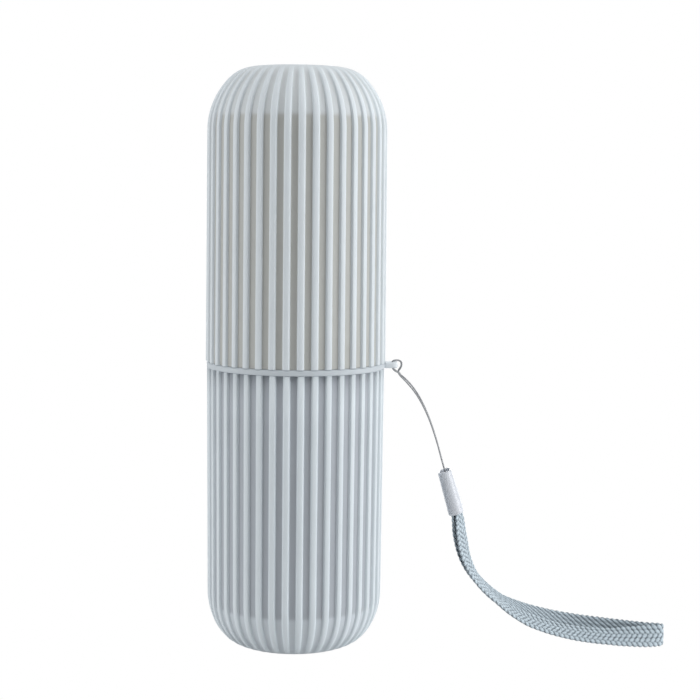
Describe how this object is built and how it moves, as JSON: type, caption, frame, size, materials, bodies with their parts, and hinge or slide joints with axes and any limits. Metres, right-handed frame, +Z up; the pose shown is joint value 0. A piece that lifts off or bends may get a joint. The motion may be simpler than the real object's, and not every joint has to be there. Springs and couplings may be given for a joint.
{
  "type": "toothbrush travel case",
  "caption": "Capsule-shaped ribbed toothbrush travel case: a lower cup and a lift-off upper cup that rinses, with a lug ring between them that carries a wrist lanyard.",
  "frame": {"origin": "centre of the flat base of the lower cup", "axes": "+Z up along the axis of the case, +X towards the lug and its lanyard, the picture's camera on the -Y side"},
  "size_m": [0.1606, 0.062, 0.199],
  "materials": {
    "shell_plastic": "satin",
    "ring_plastic": "satin",
    "divider_plastic": "satin",
    "cord_fibre": "matte",
    "ferrule_plastic": "semi-gloss",
    "strap_webbing": "matte woven"
  },
  "bodies": {
    "cup": {"lower_cup": "shell_plastic"},
    "cover": {"upper_cup": "shell_plastic"},
    "ring": {"lanyard_ring": "ring_plastic"},
    "divider": {"brush_divider": "divider_plastic"},
    "lanyard": {"lanyard_cord": "cord_fibre", "cord_knot": "cord_fibre", "ferrule": "ferrule_plastic", "wrist_strap": "strap_webbing"}
  },
  "joints": [
    {"name": "cover_lift", "type": "slide", "parent": "cup", "child": "cover", "axis": [0, 0, 1], "range_m": [0, 0.12]},
    {"name": "ring_turn", "type": "hinge", "parent": "cup", "child": "ring", "pos_m": [0, 0, 0.0977], "axis": [0, 0, 1], "continuous": true},
    {"name": "divider_lift", "type": "slide", "parent": "cup", "child": "divider", "axis": [0, 0, 1], "range_m": [0, 0.08]},
    {"name": "lanyard_swing", "type": "hinge", "parent": "ring", "child": "lanyard", "pos_m": [0.0349, 0, 0.0977], "axis": [0, -1, 0], "range_deg": [-20, 100]}
  ]
}
